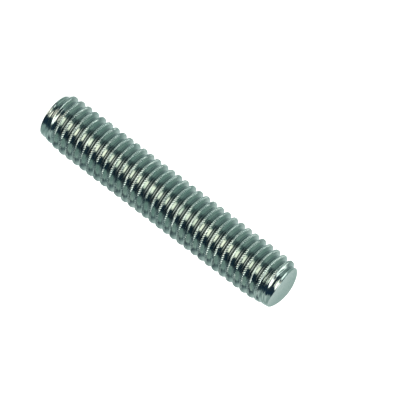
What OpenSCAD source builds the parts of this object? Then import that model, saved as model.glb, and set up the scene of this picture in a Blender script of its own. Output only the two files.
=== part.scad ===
// A short length of metric threaded rod with a right-hand thread, standing on its lower end.
// The lower end is cut square, and the upper end was sheared a few degrees off square.
// The origin is the middle of the lower end face and the axis of the rod is +Z.

/* [Rod] */
// Length of the rod from its lower end face to the highest point of its upper one
rod_length = 33; // [15:1:38]
// Diameter over the thread crests
crest_diameter = 5.95; // [5.8:0.01:5.97]

/* [Thread] */
// Distance along the axis from one crest to the next
pitch = 1; // [0.95:0.05:1.25]
// Angle between the two flanks of the groove
flank_angle = 60; // [50:1:65]
// Width of the flat left on top of each crest
crest_flat = 0.13; // [0.08:0.01:0.22]
// Radius at the bottom of the groove
root_radius = 0.144; // [0.11:0.002:0.16]
// Share of a turn by which the thread is turned against the lower end
thread_turn = 0.14; // [0:0.01:0.9]

/* [Ends] */
// Diameter of the rim round each end face
end_rim_diameter = 5.06; // [4.8:0.02:5.3]
// Width and height of the small bevel round the lower end face
rim_bevel = 0.08; // [0.03:0.01:0.2]
// Length of the cone that leads from the rim up to the full crests
lead_in_length = 2.2; // [1:0.1:4]
// Angle by which the upper end is off square, highest on the -Y side
shear_angle = 4.8; // [0:0.2:8]

/* [Hidden] */

zinc_grey = [0.66, 0.70, 0.67];

// Facets round a turn of the thread, and corners in one pitch of its section
columns = 32;
knots = 5;
cone_facets = 60;
spare_turns = 2;
clear_of_crests = 1;

crest_radius = crest_diameter / 2;
half_flank = flank_angle / 2;
root_half_width = root_radius * cos(half_flank);
flank_run = pitch / 2 - crest_flat / 2 - root_half_width;
flank_foot_radius = crest_radius - flank_run / tan(half_flank);
groove_radius = flank_foot_radius - root_radius * (1 - sin(half_flank));

// One pitch of the thread, from the middle of a groove, as [height, radius]
profile = [
    [0, groove_radius],
    [root_half_width, flank_foot_radius],
    [pitch / 2 - crest_flat / 2, crest_radius],
    [pitch / 2 + crest_flat / 2, crest_radius],
    [pitch - root_half_width, flank_foot_radius]
];

turns = ceil(rod_length / pitch) + 2 * spare_turns;
last_row = turns * knots;
thread_foot = (thread_turn - spare_turns - 0.5) * pitch;
foot_centre = columns * (last_row + 1);
head_centre = foot_centre + 1;

// The lead-in cone runs on past the crests, so that only the ends of the thread are cut
rim_radius = end_rim_diameter / 2;
outer_radius = crest_radius + clear_of_crests;
outer_height = (outer_radius - rim_radius) * lead_in_length / (crest_radius - rim_radius);

// Height and radius of row k of the thread in column j
function row_height(k, j) =
    thread_foot + (floor(k / knots) + j / columns) * pitch + profile[k % knots][0];
function thread_point(k, j) =
    let (angle = 360 * j / columns, radius = profile[k % knots][1])
    [radius * cos(angle), radius * sin(angle), row_height(k, j)];

// Place of that point in the list, where column "columns" is column 0 one pitch higher
function point_index(k, j) =
    j < columns ? j * (last_row + 1) + k : k + knots;

// Screw thread that rises one pitch a turn, longer than the rod at both ends
module helical_thread() {
    points = concat(
        [for (j = [0:columns - 1]) for (k = [0:last_row]) thread_point(k, j)],
        [[0, 0, thread_foot + pitch / 2], [0, 0, row_height(last_row, columns) - pitch / 2]]
    );
    flanks = [
        for (j = [0:columns - 1])
        for (k = [0:(j < columns - 1 ? last_row : last_row - knots) - 1])
        each [
            [point_index(k, j), point_index(k + 1, j + 1), point_index(k, j + 1)],
            [point_index(k, j), point_index(k + 1, j), point_index(k + 1, j + 1)]
        ]
    ];
    foot = concat(
        [for (j = [0:columns - 1]) [foot_centre, point_index(0, j), point_index(0, j + 1)]],
        [for (k = [0:knots - 1]) [foot_centre, k + 1, k]]
    );
    head = concat(
        [for (j = [0:columns - 2])
            [head_centre, point_index(last_row, j + 1), point_index(last_row, j)]],
        [for (k = [last_row - knots:last_row - 1])
            [head_centre, point_index(k, columns - 1), point_index(k + 1, columns - 1)]],
        [[head_centre, point_index(last_row, 0), point_index(last_row - knots, columns - 1)]]
    );
    polyhedron(points, concat(flanks, foot, head), convexity = 10);
}

// The rod's envelope: bevelled lower face, a lead-in cone at each end, clear of the crests between
module lead_in_envelope() {
    rotate_extrude($fn = cone_facets)
    polygon([
        [0, 0],
        [rim_radius - rim_bevel, 0],
        [rim_radius, rim_bevel],
        [outer_radius, outer_height],
        [outer_radius, rod_length - outer_height],
        [rim_radius, rod_length],
        [0, rod_length]
    ]);
}

// All that lies below the sheared upper face, which tips about the highest point of its rim
module below_shear() {
    span = 2 * outer_radius;
    translate([0, -rim_radius, rod_length])
    rotate([-shear_angle, 0, 0])
    translate([-span, -span, -2 * rod_length])
    cube([2 * span, 3 * span, 2 * rod_length]);
}

module threaded_rod() {
    color(zinc_grey)
    intersection() {
        lead_in_envelope();
        below_shear();
        helical_thread();
    }
}

threaded_rod();
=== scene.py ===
import math

import bmesh
import bpy
from mathutils import Matrix, Vector


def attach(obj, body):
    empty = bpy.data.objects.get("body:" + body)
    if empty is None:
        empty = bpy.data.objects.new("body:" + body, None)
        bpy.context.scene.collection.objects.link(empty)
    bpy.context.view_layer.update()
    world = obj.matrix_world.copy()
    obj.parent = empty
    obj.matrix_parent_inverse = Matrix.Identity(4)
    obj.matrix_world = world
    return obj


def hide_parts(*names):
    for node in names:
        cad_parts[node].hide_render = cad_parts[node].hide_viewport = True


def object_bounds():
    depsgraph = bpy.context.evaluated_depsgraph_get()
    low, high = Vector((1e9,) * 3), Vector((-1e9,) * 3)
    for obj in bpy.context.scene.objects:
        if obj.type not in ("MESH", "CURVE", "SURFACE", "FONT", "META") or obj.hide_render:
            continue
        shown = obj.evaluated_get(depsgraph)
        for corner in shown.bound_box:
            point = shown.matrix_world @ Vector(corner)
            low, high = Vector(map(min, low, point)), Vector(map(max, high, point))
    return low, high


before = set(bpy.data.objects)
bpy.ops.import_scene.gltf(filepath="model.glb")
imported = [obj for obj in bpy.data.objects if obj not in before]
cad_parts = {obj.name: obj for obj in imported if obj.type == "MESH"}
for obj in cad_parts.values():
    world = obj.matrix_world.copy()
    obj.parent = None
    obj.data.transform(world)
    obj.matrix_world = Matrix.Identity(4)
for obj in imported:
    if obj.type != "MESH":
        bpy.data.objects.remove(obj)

cad_low, cad_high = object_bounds()

MM = 0.001

# Rod and full thread: crests a little inside the CAD's, and turned by the same share of a turn
ROD_LENGTH = cad_high.z - cad_low.z
INSIDE_CAD = 0.003 * MM
CREST_RADIUS = cad_high.x - INSIDE_CAD
PITCH = 1.0 * MM
CREST_FLAT = 0.12 * MM
ROOT_RADIUS = 0.144 * MM
HALF_FLANK = math.radians(30)
CREST_TURN = 0.14

# Lead-in of each end, as distances from the end face with the largest radius there.
# It is off centre, so it is long on one side of the rod and short on the other
RIM_RADIUS = 2.53 * MM
LONG_LEAD = [
    (0.0, RIM_RADIUS), (0.66 * MM, 2.64 * MM), (1.6 * MM, 2.80 * MM),
    (2.7 * MM, 2.97 * MM), (4.0 * MM, 3.3 * MM),
]
SHORT_LEAD = [
    (0.0, RIM_RADIUS), (0.2 * MM, 2.56 * MM), (0.45 * MM, 2.88 * MM),
    (1.6 * MM, 2.98 * MM), (4.0 * MM, 3.3 * MM),
]
SHORT_SIDE = math.radians(180)
SHORT_SHARE_POWER = 1.5
LEAD_IN_ROUNDING = 0.04 * MM

# Depth of groove left open at distances from the end face, on the side of the long lead-in
FULL_DEPTH = 0.75 * MM
GROOVE_LEFT = [(0.0, 0.02 * MM), (0.9 * MM, 0.09 * MM), (1.6 * MM, 0.35 * MM), (2.3 * MM, FULL_DEPTH)]

# Rolled crest: two lips with a seam between them, which opens where the crest is incomplete
SEAM_DEPTH = 0.03 * MM
SEAM_WIDTH = 0.03 * MM
OPEN_SEAM_WIDTH = 0.09 * MM
OPEN_BELOW_CREST = 0.4 * MM
CREST_ROUNDING = 0.018 * MM

# Mesh: heights of the rows from a crest to the next root, in pitches, and steps round a turn
ROWS_FROM_CREST = [0.0, 0.02, 0.035, 0.048, 0.06, 0.075, 0.1, 0.15, 0.22, 0.31, 0.38, 0.44, 0.50]
STEPS_PER_TURN = 72
SPARE_TURNS = 1
MERGE_DISTANCE = 0.001 * MM
CUT_THRESHOLD = 0.0001 * MM
SMOOTH_BELOW = math.radians(50)

# The upper end is sheared a little off square, highest on its near side, with a slight saddle
UPPER_LEAN = 0.225 * MM
UPPER_SADDLE = 0.14 * MM
LEAN_AZIMUTH = math.radians(-90)

# Rim and rings of an end face, the rings as shares of the rim's radius
RIM_ROUNDING = 0.035 * MM
RIM_TURNS = [math.radians(30), math.radians(60), math.radians(90)]
FACE_RINGS = [0.94, 0.85, 0.72, 0.55, 0.36, 0.18]

# Camera, from the photograph's frame of 400 by 400 pixels. The upright scale is foreshortened
FRAME_PIXELS = 400.0
TILT = math.radians(20.3)
SLANT = math.radians(37.26)
UPRIGHT_PIXELS_PER_METRE = 8820.0
PIXELS_PER_METRE = UPRIGHT_PIXELS_PER_METRE / math.cos(TILT)
END_PIXEL = Vector((285.6, 290.4))
CAMERA_AZIMUTH = math.radians(-90)
DISTANCE = 0.85
SENSOR = 36.0
CLIP_NEAR = 0.01
CLIP_FAR = 10.0

# Zinc plating: polished and dulled patches, and painted shade (a darker base colour) with more roughness
# in the roots, clear of the end faces
ZINC_BRIGHT = (0.74, 0.80, 0.75)
ZINC_DULL = (0.57, 0.69, 0.65)
POLISHED = 0.07
DULLED = 0.15
DULL_PATCHES = (0.38, 0.64)
STREAK_SHARE = 0.55
# Painted shade: the darker base colour given to the thread roots
ROOT_PAINTED_SHADE = (0.34, 0.42, 0.41)
ROOT_ROUGHNESS = 0.16
RADIUS_OF_ROOTS = (2.52 * MM, 2.40 * MM)
CLEAR_OF_ENDS = (0.3 * MM, 0.5 * MM, ROD_LENGTH - 0.8 * MM, ROD_LENGTH - 0.6 * MM)

# Grain, mottle and clouds all over, with the scale of their noise
GRAIN_SCALE = 9000.0
GRAIN_DEPTH = 0.0025 * MM
GRAIN_ROUGHNESS = 0.10
MOTTLE_SCALE = 1400.0
CLOUD_SCALE = 330.0

# Streaks along the thread: how fine they are across the thread, outwards and round the rod
STREAKS_PER_PITCH = 34.0
STREAKS_PER_METRE = 9000.0
STREAKS_PER_RADIAN = 2.2
STREAK_DEPTH = 0.004 * MM

# Chatter marks across the crests, which come and go in patches
MARKS_ROUND = 72.0
MARK_SKEW = 22.0
MARK_WAVER = 5.0
MARK_DEPTH = 0.014 * MM
MARK_PATCH_SCALE = 900.0
MARK_PATCHES = (0.30, 0.62)
RADIUS_OF_MARKS = (2.74 * MM, 2.86 * MM)

# Pale floor, which glows a little
FLOOR_SIZE = 6.0
FLOOR_COLOUR = (0.85, 0.85, 0.85)
FLOOR_ROUGHNESS = 0.9
FLOOR_GLOW = 0.75

# Colours of the studio, as linear light
BACKDROP = (1.0, 1.0, 1.0)
WALL = (0.265, 0.36, 0.35)
BEHIND_LOW = (0.50, 0.61, 0.60)
BEHIND_HIGH = (0.50, 0.60, 0.58)
STRIP = (1.75, 1.62, 1.42)
UPPER_GAP = (0.09, 0.135, 0.145)
LOWER_GAP = (0.010, 0.028, 0.050)
FRONT_SHADE = (0.02, 0.035, 0.05)
WALL_ABOVE = (0.50, 0.60, 0.58)
GAP_ABOVE = (0.04, 0.065, 0.075)
GLINT = (2.2, 2.3, 2.2)
SIDE_GLINT = (1.45, 1.6, 1.55)
UNDERSIDE = (0.03, 0.045, 0.05)

# Where those colours lie, as edges between which they fade in, and out again where there are four.
# Towards the front: 1 is the camera's side of the rod and -1 the far side
WALL_FRONT = (-0.97, -0.52)
STUDIO_FRONT = (-0.75, -0.3)
# Across: above 0 towards the side of the rod that is uppermost in the photograph
STRIP_LEAN = 0.03
FRONT_SPREAD = 1.15
STRIP_ACROSS = (-0.24, -0.13, 0.10, 0.24)
UPPER_GAP_ACROSS = (0.20, 0.28, 0.48, 0.60)
LOWER_GAP_ACROSS = (-0.84, -0.70, -0.26, -0.18)
FRONT_SHADE_ACROSS = (-0.60, -0.35, 0.35, 0.60)
GAP_ABOVE_ACROSS = (-0.62, -0.48, 0.50, 0.80)
GLINT_ACROSS = (-0.30, -0.20, 0.04, 0.12)
SIDE_GLINT_ACROSS = (0.20, 0.28, 0.60, 0.90)
LOW_SIDE_ACROSS = (-0.70, -0.86)
# Heights: the sine of the angle above the horizon
BEHIND_HEIGHT = (-0.1, 0.1)
FRONT_SHADE_HEIGHT = (-0.54, -0.42, 0.02, 0.20)
ABOVE_HEIGHT = (0.50, 0.72)
LOW_SIDE_HEIGHT = (-0.18, 0.02)
UNDERSIDE_HEIGHT = (-0.75, -0.88)


def deselect_all():
    for obj in bpy.context.selected_objects:
        obj.select_set(False)


def screen_axes(view_back):
    """Directions along the standing rod and across it, as a camera sees them that looks from view_back."""
    along = (Vector((0, 0, 1)) - view_back * view_back.z).normalized()
    return along, view_back.cross(along)


def make_camera():
    """Camera that shows the rod slanting down the frame, with its upper end at END_PIXEL."""
    view_back = Vector((
        math.cos(CAMERA_AZIMUTH) * math.cos(TILT),
        math.sin(CAMERA_AZIMUTH) * math.cos(TILT),
        math.sin(TILT),
    ))
    along, across = screen_axes(view_back)
    right = along * math.cos(SLANT) + across * math.sin(SLANT)
    up = -along * math.sin(SLANT) + across * math.cos(SLANT)
    width = FRAME_PIXELS / PIXELS_PER_METRE
    end_middle = Vector((0, 0, ROD_LENGTH))
    end_right = (END_PIXEL.x - FRAME_PIXELS / 2) / PIXELS_PER_METRE
    end_up = (FRAME_PIXELS / 2 - END_PIXEL.y) / PIXELS_PER_METRE
    target = end_middle - right * end_right - up * end_up
    data = bpy.data.cameras.new("camera")
    data.sensor_width = SENSOR
    data.lens = SENSOR * DISTANCE / width
    data.clip_start = CLIP_NEAR
    data.clip_end = CLIP_FAR
    camera = bpy.data.objects.new("camera", data)
    bpy.context.scene.collection.objects.link(camera)
    turn = Matrix((right, up, view_back)).transposed().to_4x4()
    camera.matrix_world = Matrix.Translation(target + view_back * DISTANCE) @ turn
    bpy.context.scene.camera = camera
    return view_back


def soft_min(a, b, rounding):
    return 0.5 * (a + b - math.sqrt((a - b) ** 2 + rounding ** 2))


def soft_max(a, b, rounding):
    return -soft_min(-a, -b, rounding)


def thread_radius(from_crest):
    """Radius of the full thread at a distance along the axis from the middle of its crest."""
    root_half = ROOT_RADIUS * math.cos(HALF_FLANK)
    from_root = PITCH / 2 - from_crest
    flank_foot = CREST_RADIUS - (PITCH / 2 - CREST_FLAT / 2 - root_half) / math.tan(HALF_FLANK)
    if from_root < root_half:
        root_centre = flank_foot + ROOT_RADIUS * math.sin(HALF_FLANK)
        return root_centre - math.sqrt(ROOT_RADIUS ** 2 - from_root ** 2)
    flank = CREST_RADIUS - (from_crest - CREST_FLAT / 2) / math.tan(HALF_FLANK)
    return soft_min(flank, CREST_RADIUS, CREST_ROUNDING)


def size_at(steps, from_end):
    """Size at a distance from the end face, from (distance, size) steps. It grows on past the last."""
    for (low, low_size), (high, high_size) in zip(steps, steps[1:]):
        if from_end <= high:
            return low_size + (high_size - low_size) * (from_end - low) / (high - low)
    return steps[-1][1] + from_end - steps[-1][0]


def short_share(around):
    """1 on the side of the short lead-in, 0 on the side of the long one."""
    return (0.5 + 0.5 * math.cos(around - SHORT_SIDE)) ** SHORT_SHARE_POWER


def lead_in_radius(from_end, around):
    long_side = size_at(LONG_LEAD, from_end)
    return long_side + (size_at(SHORT_LEAD, from_end) - long_side) * short_share(around)


def groove_left(from_end, around):
    long_side = min(FULL_DEPTH, size_at(GROOVE_LEFT, from_end))
    return long_side + (FULL_DEPTH - long_side) * short_share(around) ** 2


def rolled_radius(from_crest, from_end, around):
    """Radius with the lead-in and the closed grooves at the rod's end, and the seam of the crest."""
    allowed = lead_in_radius(from_end, around)
    radius = soft_min(thread_radius(from_crest), allowed, LEAD_IN_ROUNDING)
    groove_floor = min(allowed, CREST_RADIUS) - groove_left(from_end, around)
    radius = soft_max(radius, groove_floor, LEAD_IN_ROUNDING)
    missing = max(0.0, min(1.0, (CREST_RADIUS - allowed) / OPEN_BELOW_CREST))
    width = SEAM_WIDTH + (OPEN_SEAM_WIDTH - SEAM_WIDTH) * missing
    return radius - SEAM_DEPTH * math.exp(-(from_crest / width) ** 2)


def from_crest_at(x, y, z):
    """Distance along the axis from a point to the nearest crest."""
    turn = z / PITCH - math.atan2(y, x) / math.tau - CREST_TURN
    return abs((turn + 0.5) % 1.0 - 0.5) * PITCH


def upper_cut(x, y):
    """How far the sheared upper face lies below its highest point."""
    around = math.atan2(y, x) - LEAN_AZIMUTH
    out = math.hypot(x, y) / RIM_RADIUS
    lean = UPPER_LEAN * (1 - out * math.cos(around))
    saddle = UPPER_SADDLE * (1 - out ** 2 * math.cos(2 * around))
    return lean + saddle


def make_helix():
    """Surface of crest radius with rows that climb one pitch a turn, made by screwing a line of points."""
    deselect_all()
    bpy.ops.mesh.primitive_plane_add(size=PITCH)
    rod = bpy.context.object
    rod.name = "rolled_rod"
    mesh = rod.data
    heights = [-x for x in reversed(ROWS_FROM_CREST[1:])] + ROWS_FROM_CREST
    bm = bmesh.new()
    bm.from_mesh(mesh)
    bmesh.ops.delete(bm, geom=list(bm.verts)[2:], context="VERTS")
    bmesh.ops.subdivide_edges(bm, edges=list(bm.edges), cuts=len(heights) - 2)
    chain = [next(v for v in bm.verts if len(v.link_edges) == 1)]
    while len(chain) < len(heights):
        chain.append(next(
            e.other_vert(chain[-1]) for e in chain[-1].link_edges
            if e.other_vert(chain[-1]) not in chain
        ))
    foot = (CREST_TURN - SPARE_TURNS) * PITCH
    for vert, height in zip(chain, heights):
        vert.co = (CREST_RADIUS, 0, foot + height * PITCH)
    bm.to_mesh(mesh)
    bm.free()
    screw = rod.modifiers.new("thread", "SCREW")
    screw.axis = "Z"
    screw.angle = math.tau
    screw.screw_offset = PITCH
    screw.iterations = math.ceil(ROD_LENGTH / PITCH) + 2 * SPARE_TURNS + 1
    screw.steps = STEPS_PER_TURN
    screw.render_steps = STEPS_PER_TURN
    bpy.ops.object.modifier_apply(modifier=screw.name)
    bpy.ops.object.mode_set(mode="EDIT")
    bpy.ops.mesh.select_all(action="SELECT")
    bpy.ops.mesh.remove_doubles(threshold=MERGE_DISTANCE)
    bpy.ops.object.mode_set(mode="OBJECT")
    return rod


def shape_thread(rod):
    """Move each point of the helix out or in to the radius of the rolled thread."""
    for vert in rod.data.vertices:
        x, y, z = vert.co
        below_top = ROD_LENGTH - z - upper_cut(x, y)
        from_end = max(0.0, min(z, below_top))
        around = math.atan2(y, x)
        scale = rolled_radius(from_crest_at(x, y, z), from_end, around) / math.hypot(x, y)
        vert.co = (x * scale, y * scale, z)


def close_end(rod, height, outward, cut_below):
    """Cut the rod across, round the rim and close the face with rings.

    cut_below(x, y) is how far the finished face lies below the height. The points are lifted by it
    first and lowered again last, so that the cut is level while it is made."""
    mesh = rod.data
    for vert in mesh.vertices:
        vert.co.z += cut_below(vert.co.x, vert.co.y)
    deselect_all()
    rod.select_set(True)
    bpy.context.view_layer.objects.active = rod
    bpy.ops.object.mode_set(mode="EDIT")
    bpy.ops.mesh.select_all(action="SELECT")
    at = height - outward * RIM_ROUNDING
    bpy.ops.mesh.bisect(
        plane_co=(0, 0, at), plane_no=(0, 0, outward),
        use_fill=False, clear_outer=True, threshold=CUT_THRESHOLD,
    )
    reached = 1.0
    for turn in RIM_TURNS:
        goal = height - outward * RIM_ROUNDING * (1 - math.sin(turn))
        share = 1 - RIM_ROUNDING * (1 - math.cos(turn)) / RIM_RADIUS
        bpy.ops.mesh.extrude_edges_move(TRANSFORM_OT_translate={"value": (0, 0, goal - at)})
        bpy.ops.transform.resize(value=(share / reached, share / reached, 1), center_override=(0, 0, goal))
        at, reached = goal, share
    for share in FACE_RINGS:
        bpy.ops.mesh.extrude_edges_move(TRANSFORM_OT_translate={"value": (0, 0, 0)})
        bpy.ops.transform.resize(value=(share / reached, share / reached, 1), center_override=(0, 0, at))
        reached = share
    bpy.ops.mesh.extrude_edges_move(TRANSFORM_OT_translate={"value": (0, 0, 0)})
    bpy.ops.mesh.merge(type="CENTER")
    bpy.ops.object.mode_set(mode="OBJECT")
    for vert in mesh.vertices:
        vert.co.z -= cut_below(vert.co.x, vert.co.y)


def make_rod():
    rod = make_helix()
    shape_thread(rod)
    close_end(rod, 0.0, -1, lambda x, y: 0.0)
    close_end(rod, ROD_LENGTH, 1, upper_cut)
    bpy.ops.object.mode_set(mode="EDIT")
    bpy.ops.mesh.select_all(action="SELECT")
    bpy.ops.mesh.normals_make_consistent(inside=False)
    bpy.ops.object.mode_set(mode="OBJECT")
    bpy.ops.object.shade_smooth_by_angle(angle=SMOOTH_BELOW)
    rod.data.materials.append(zinc_material())
    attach(rod, "root")
    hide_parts("threaded_rod")


def math_node(tree, operation, first, second=0.0):
    node = tree.nodes.new("ShaderNodeMath")
    node.operation = operation
    for socket, value in zip(node.inputs, (first, second)):
        if isinstance(value, (int, float)):
            socket.default_value = value
        else:
            tree.links.new(value, socket)
    return node.outputs[0]


def plus(tree, first, second):
    return math_node(tree, "ADD", first, second)


def minus(tree, first, second):
    return math_node(tree, "SUBTRACT", first, second)


def times(tree, first, second):
    return math_node(tree, "MULTIPLY", first, second)


def rise(tree, value, start, full):
    """0 up to start, 1 from full on and smooth between them. Full may be the lower of the two."""
    node = tree.nodes.new("ShaderNodeMapRange")
    node.interpolation_type = "SMOOTHSTEP"
    tree.links.new(value, node.inputs["Value"])
    node.inputs["From Min"].default_value = start
    node.inputs["From Max"].default_value = full
    return node.outputs["Result"]


def band(tree, value, edges):
    """1 between the two middle edges, 0 outside the two outer ones."""
    start, full, leave, last = edges
    return minus(tree, rise(tree, value, start, full), rise(tree, value, leave, last))


def blend(tree, factor, below, above):
    """Colour that goes from below, where the factor is 0, to above, where it is 1."""
    node = tree.nodes.new("ShaderNodeMix")
    node.data_type = "RGBA"
    tree.links.new(factor, node.inputs["Factor"])
    for socket, value in ((node.inputs["A"], below), (node.inputs["B"], above)):
        if isinstance(value, tuple):
            socket.default_value = (*value, 1)
        else:
            tree.links.new(value, socket)
    return node.outputs["Result"]


def noise_node(tree, vector, scale, detail):
    node = tree.nodes.new("ShaderNodeTexNoise")
    tree.links.new(vector, node.inputs["Vector"])
    node.inputs["Scale"].default_value = scale
    node.inputs["Detail"].default_value = detail
    return node.outputs["Fac"]


def vector_of(tree, x, y, z):
    node = tree.nodes.new("ShaderNodeCombineXYZ")
    for socket, value in zip(node.inputs, (x, y, z)):
        tree.links.new(value, socket)
    return node.outputs["Vector"]


def bump(tree, height, depth, normal=None):
    node = tree.nodes.new("ShaderNodeBump")
    tree.links.new(height, node.inputs["Height"])
    node.inputs["Distance"].default_value = depth
    if normal is not None:
        tree.links.new(normal, node.inputs["Normal"])
    return node.outputs["Normal"]


def round_and_out(tree, x, y):
    """Angle round the rod and distance from its axis."""
    squares = plus(tree, times(tree, x, x), times(tree, y, y))
    return math_node(tree, "ARCTAN2", y, x), math_node(tree, "SQRT", squares)


def across_thread(tree, z, around):
    """Height along the axis less the rise of the thread, in pitches."""
    return minus(tree, math_node(tree, "DIVIDE", z, PITCH), math_node(tree, "DIVIDE", around, math.tau))


def thread_streaks(tree, section, radius, around):
    """Long fine streaks that run along the thread."""
    place = vector_of(
        tree,
        times(tree, section, STREAKS_PER_PITCH),
        times(tree, radius, STREAKS_PER_METRE),
        times(tree, around, STREAKS_PER_RADIAN),
    )
    return noise_node(tree, place, 1.0, detail=3.0)


def chatter_marks(tree, place, section, radius, around, mottle):
    """Marks across the rolled crests, uneven in depth and spacing."""
    waver = times(tree, minus(tree, mottle, 0.5), MARK_WAVER)
    skewed = plus(tree, waver, times(tree, section, MARK_SKEW))
    turned = plus(tree, times(tree, around, MARKS_ROUND), skewed)
    patches = rise(tree, noise_node(tree, place, MARK_PATCH_SCALE, detail=1.0), *MARK_PATCHES)
    marks = times(tree, math_node(tree, "SINE", turned), patches)
    return times(tree, marks, rise(tree, radius, *RADIUS_OF_MARKS))


def zinc_material():
    """Bright zinc over rolled steel, dulled in patches and darkened by painted shade in the roots, with
    chatter marks across the crests, streaks along the thread and a fine grain all over."""
    material = bpy.data.materials.new("zinc_plated_steel")
    material.use_nodes = True
    tree = material.node_tree
    shader = tree.nodes["Principled BSDF"]
    shader.inputs["Metallic"].default_value = 1.0
    place = tree.nodes.new("ShaderNodeTexCoord").outputs["Object"]
    parts = tree.nodes.new("ShaderNodeSeparateXYZ")
    tree.links.new(place, parts.inputs["Vector"])
    x, y, z = parts.outputs
    around, radius = round_and_out(tree, x, y)
    section = across_thread(tree, z, around)

    grain = noise_node(tree, place, GRAIN_SCALE, detail=3.0)
    mottle = noise_node(tree, place, MOTTLE_SCALE, detail=4.0)
    cloud = noise_node(tree, place, CLOUD_SCALE, detail=2.0)
    streaks = thread_streaks(tree, section, radius, around)
    marks = chatter_marks(tree, place, section, radius, around, mottle)

    worn = plus(tree, times(tree, streaks, STREAK_SHARE), times(tree, cloud, 1 - STREAK_SHARE))
    dulled = rise(tree, worn, *DULL_PATCHES)
    in_root = times(tree, rise(tree, radius, *RADIUS_OF_ROOTS), band(tree, z, CLEAR_OF_ENDS))
    plated = blend(tree, dulled, ZINC_BRIGHT, ZINC_DULL)
    # Painted shade: the base colour is darkened in the thread roots
    tree.links.new(blend(tree, in_root, plated, ROOT_PAINTED_SHADE), shader.inputs["Base Color"])

    dulling = times(tree, dulled, DULLED - POLISHED)
    graining = plus(tree, times(tree, grain, GRAIN_ROUGHNESS), POLISHED - GRAIN_ROUGHNESS / 2)
    roughness = plus(tree, plus(tree, dulling, graining), times(tree, in_root, ROOT_ROUGHNESS))
    tree.links.new(roughness, shader.inputs["Roughness"])

    normal = bump(tree, grain, GRAIN_DEPTH)
    normal = bump(tree, streaks, STREAK_DEPTH, normal)
    normal = bump(tree, marks, MARK_DEPTH, normal)
    tree.links.new(normal, shader.inputs["Normal"])
    return material


def make_floor():
    """Pale light table: it glows a little, so that it stays as pale as the backdrop."""
    deselect_all()
    bpy.ops.mesh.primitive_plane_add(size=FLOOR_SIZE)
    floor = bpy.context.object
    floor.name = "floor"
    floor.visible_glossy = False
    material = bpy.data.materials.new("pale_floor")
    material.use_nodes = True
    shader = material.node_tree.nodes["Principled BSDF"]
    shader.inputs["Base Color"].default_value = (*FLOOR_COLOUR, 1)
    shader.inputs["Roughness"].default_value = FLOOR_ROUGHNESS
    shader.inputs["Emission Color"].default_value = (1, 1, 1, 1)
    shader.inputs["Emission Strength"].default_value = FLOOR_GLOW
    floor.data.materials.append(material)


def make_world(view_back):
    """Studio round the rod, which its metal mirrors, and a white backdrop that only the camera sees.

    A tall soft strip light stands at the photograph's side of the rod, with a dark gap on each side
    of it, a shade across it below the horizon, pale walls beyond and two bright lights high above."""
    world = bpy.data.worlds.new("studio")
    bpy.context.scene.world = world
    world.use_nodes = True
    tree = world.node_tree
    direction = tree.nodes.new("ShaderNodeTexCoord").outputs["Generated"]
    seen_by_camera = tree.nodes.new("ShaderNodeLightPath").outputs["Is Camera Ray"]

    def part_along(axis):
        node = tree.nodes.new("ShaderNodeVectorMath")
        node.operation = "DOT_PRODUCT"
        tree.links.new(direction, node.inputs[0])
        node.inputs[1].default_value = axis
        return node.outputs["Value"]

    along, across = screen_axes(view_back)
    to_front = part_along(view_back)
    height = part_along(Vector((0, 0, 1)))
    in_front = rise(tree, to_front, *STUDIO_FRONT)

    # Place across, divided more towards the front, so that every light spreads wider there
    leaning = minus(tree, part_along(across), times(tree, part_along(along), STRIP_LEAN))
    forward = math_node(tree, "MAXIMUM", to_front, 0.0)
    place = math_node(tree, "DIVIDE", leaning, plus(tree, 1.0, times(tree, forward, FRONT_SPREAD)))

    def within(colour, paint, *factors):
        factor = in_front
        for other in factors:
            factor = times(tree, factor, other)
        return blend(tree, factor, colour, paint)

    behind = blend(tree, rise(tree, height, *BEHIND_HEIGHT), BEHIND_LOW, BEHIND_HIGH)
    colour = blend(tree, rise(tree, to_front, *WALL_FRONT), behind, WALL)
    colour = within(colour, STRIP, band(tree, place, STRIP_ACROSS))
    colour = within(colour, UPPER_GAP, band(tree, place, UPPER_GAP_ACROSS))
    colour = within(colour, LOWER_GAP, band(tree, place, LOWER_GAP_ACROSS))
    front_shade = band(tree, height, FRONT_SHADE_HEIGHT)
    colour = within(colour, FRONT_SHADE, front_shade, band(tree, place, FRONT_SHADE_ACROSS))

    above = blend(tree, band(tree, place, GAP_ABOVE_ACROSS), WALL_ABOVE, GAP_ABOVE)
    above = blend(tree, band(tree, place, GLINT_ACROSS), above, GLINT)
    above = blend(tree, band(tree, place, SIDE_GLINT_ACROSS), above, SIDE_GLINT)
    colour = within(colour, above, rise(tree, height, *ABOVE_HEIGHT))
    low_side = rise(tree, height, *LOW_SIDE_HEIGHT)
    colour = within(colour, WALL_ABOVE, low_side, rise(tree, place, *LOW_SIDE_ACROSS))
    colour = blend(tree, rise(tree, height, *UNDERSIDE_HEIGHT), colour, UNDERSIDE)

    background = tree.nodes["Background"]
    tree.links.new(blend(tree, seen_by_camera, colour, BACKDROP), background.inputs["Color"])
    background.inputs["Strength"].default_value = 1.0


view_back = make_camera()
make_rod()
make_floor()
make_world(view_back)
bpy.context.scene.view_settings.view_transform = "Standard"
